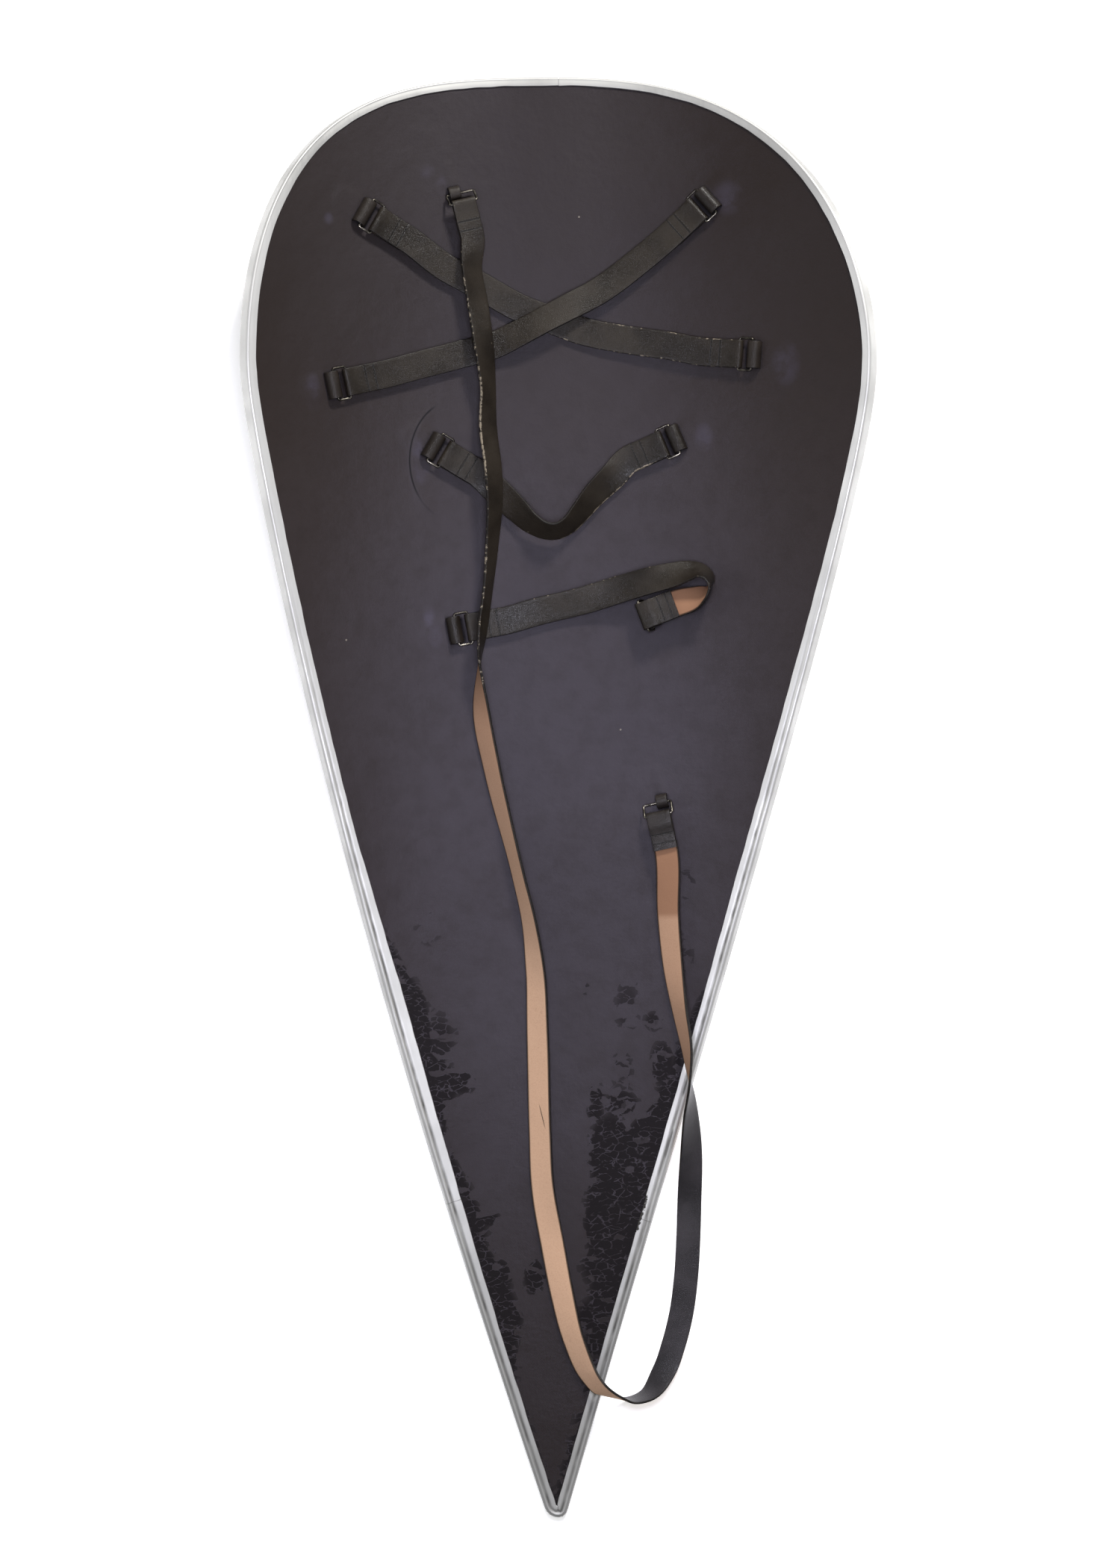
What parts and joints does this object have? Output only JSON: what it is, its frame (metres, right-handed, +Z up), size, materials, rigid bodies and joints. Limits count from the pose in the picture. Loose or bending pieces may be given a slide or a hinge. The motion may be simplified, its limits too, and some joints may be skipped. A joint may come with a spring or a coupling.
{
  "type": "kite shield",
  "caption": "Curved kite shield lying on its front, back up, with a bright metal rim, leather arm straps on ringed keepers and a long loose shoulder strap.",
  "frame": {"origin": "on the floor, under the middle of the shield's own box", "axes": "+Y along the shield from the point to the top edge, +Z up out of the hollow back, +X across it to the right seen from behind"},
  "size_m": [0.5409, 1.25, 0.0975],
  "materials": {
    "facing": "matt dark facing with a fine cloth grain",
    "rim_steel": "bright rolled sheet, lightly dented",
    "ring_steel": "dull wire with bright wear",
    "keeper_leather": "dark leather, half shiny",
    "strap_leather": "black grain side and tan flesh side"
  },
  "bodies": {
    "root": {"board": "facing", "rim_left": "rim_steel", "rim_right": "rim_steel", "rim_tip": "rim_steel", "keeper_first_left": "keeper_leather", "keeper_first_right": "keeper_leather", "keeper_second_left": "keeper_leather", "keeper_second_right": "keeper_leather", "keeper_middle_left": "keeper_leather", "keeper_middle_right": "keeper_leather", "keeper_lower_left": "keeper_leather", "keeper_lower_right": "keeper_leather", "keeper_guige_left": "keeper_leather", "keeper_guige_right": "keeper_leather", "ring_first_left": "ring_steel", "ring_first_right": "ring_steel", "ring_second_left": "ring_steel", "ring_second_right": "ring_steel", "ring_middle_left": "ring_steel", "ring_middle_right": "ring_steel", "ring_lower_left": "ring_steel", "ring_lower_right": "ring_steel", "ring_guige_left": "ring_steel", "ring_guige_right": "ring_steel", "first_cross_strap": "strap_leather", "second_cross_strap": "strap_leather", "middle_strap": "strap_leather", "lower_strap": "strap_leather", "guige_strap": "strap_leather"}
  },
  "joints": []
}
